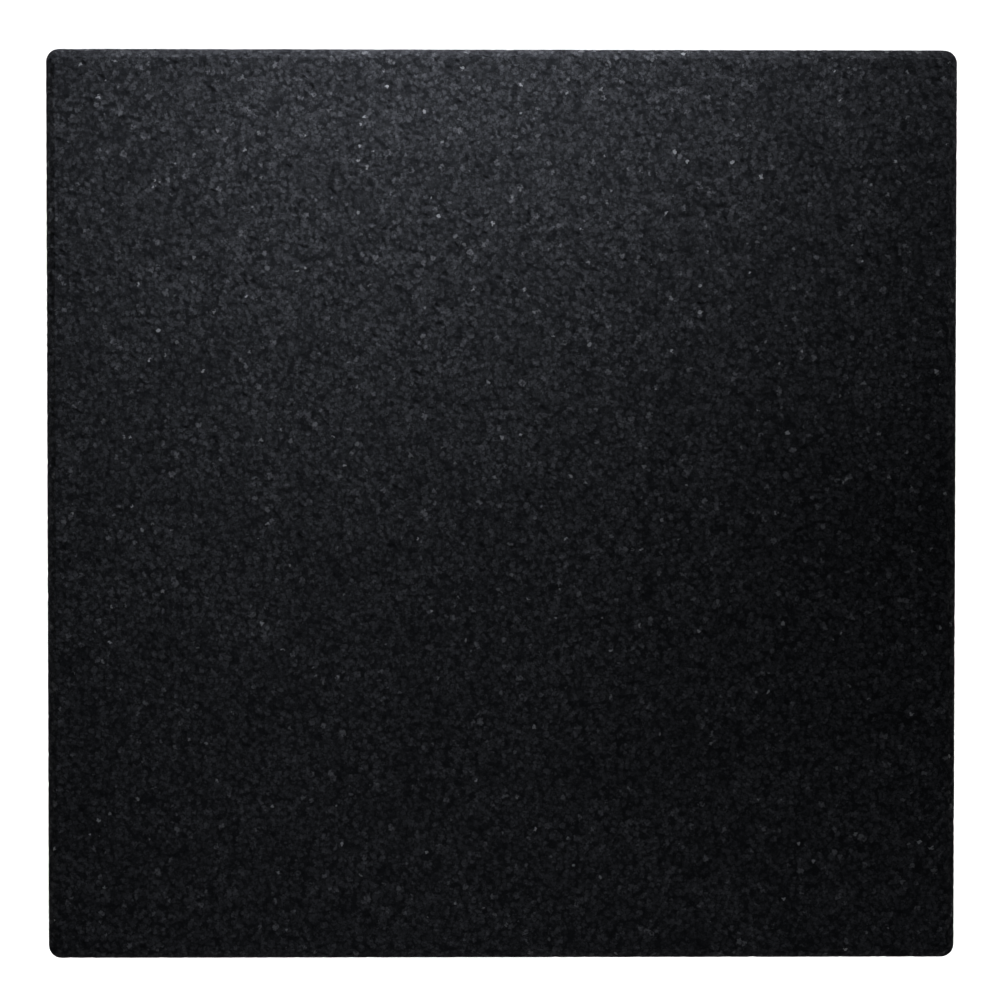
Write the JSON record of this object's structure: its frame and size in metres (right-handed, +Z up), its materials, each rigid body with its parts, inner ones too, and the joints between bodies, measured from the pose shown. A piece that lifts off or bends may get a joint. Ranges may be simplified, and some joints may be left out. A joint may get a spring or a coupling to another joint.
{
  "type": "rubber gym floor tile",
  "caption": "Square floor tile pressed from black bonded rubber crumb, with rounded corners and a narrow bevel round the top edge, laid loose or glued edge to edge.",
  "frame": {"origin": "centre of the underside, on the floor that the tile lies on", "axes": "+Z up out of the top face, +X and +Y along the sides of the square; seen from above, +Y is the top edge of the picture"},
  "size_m": [0.5, 0.5, 0.02],
  "materials": {
    "crumb_rubber": "matt black bonded rubber crumb, granular, with small glints on single granules"
  },
  "bodies": {
    "root": {"rubber_tile": "crumb_rubber"}
  },
  "joints": []
}
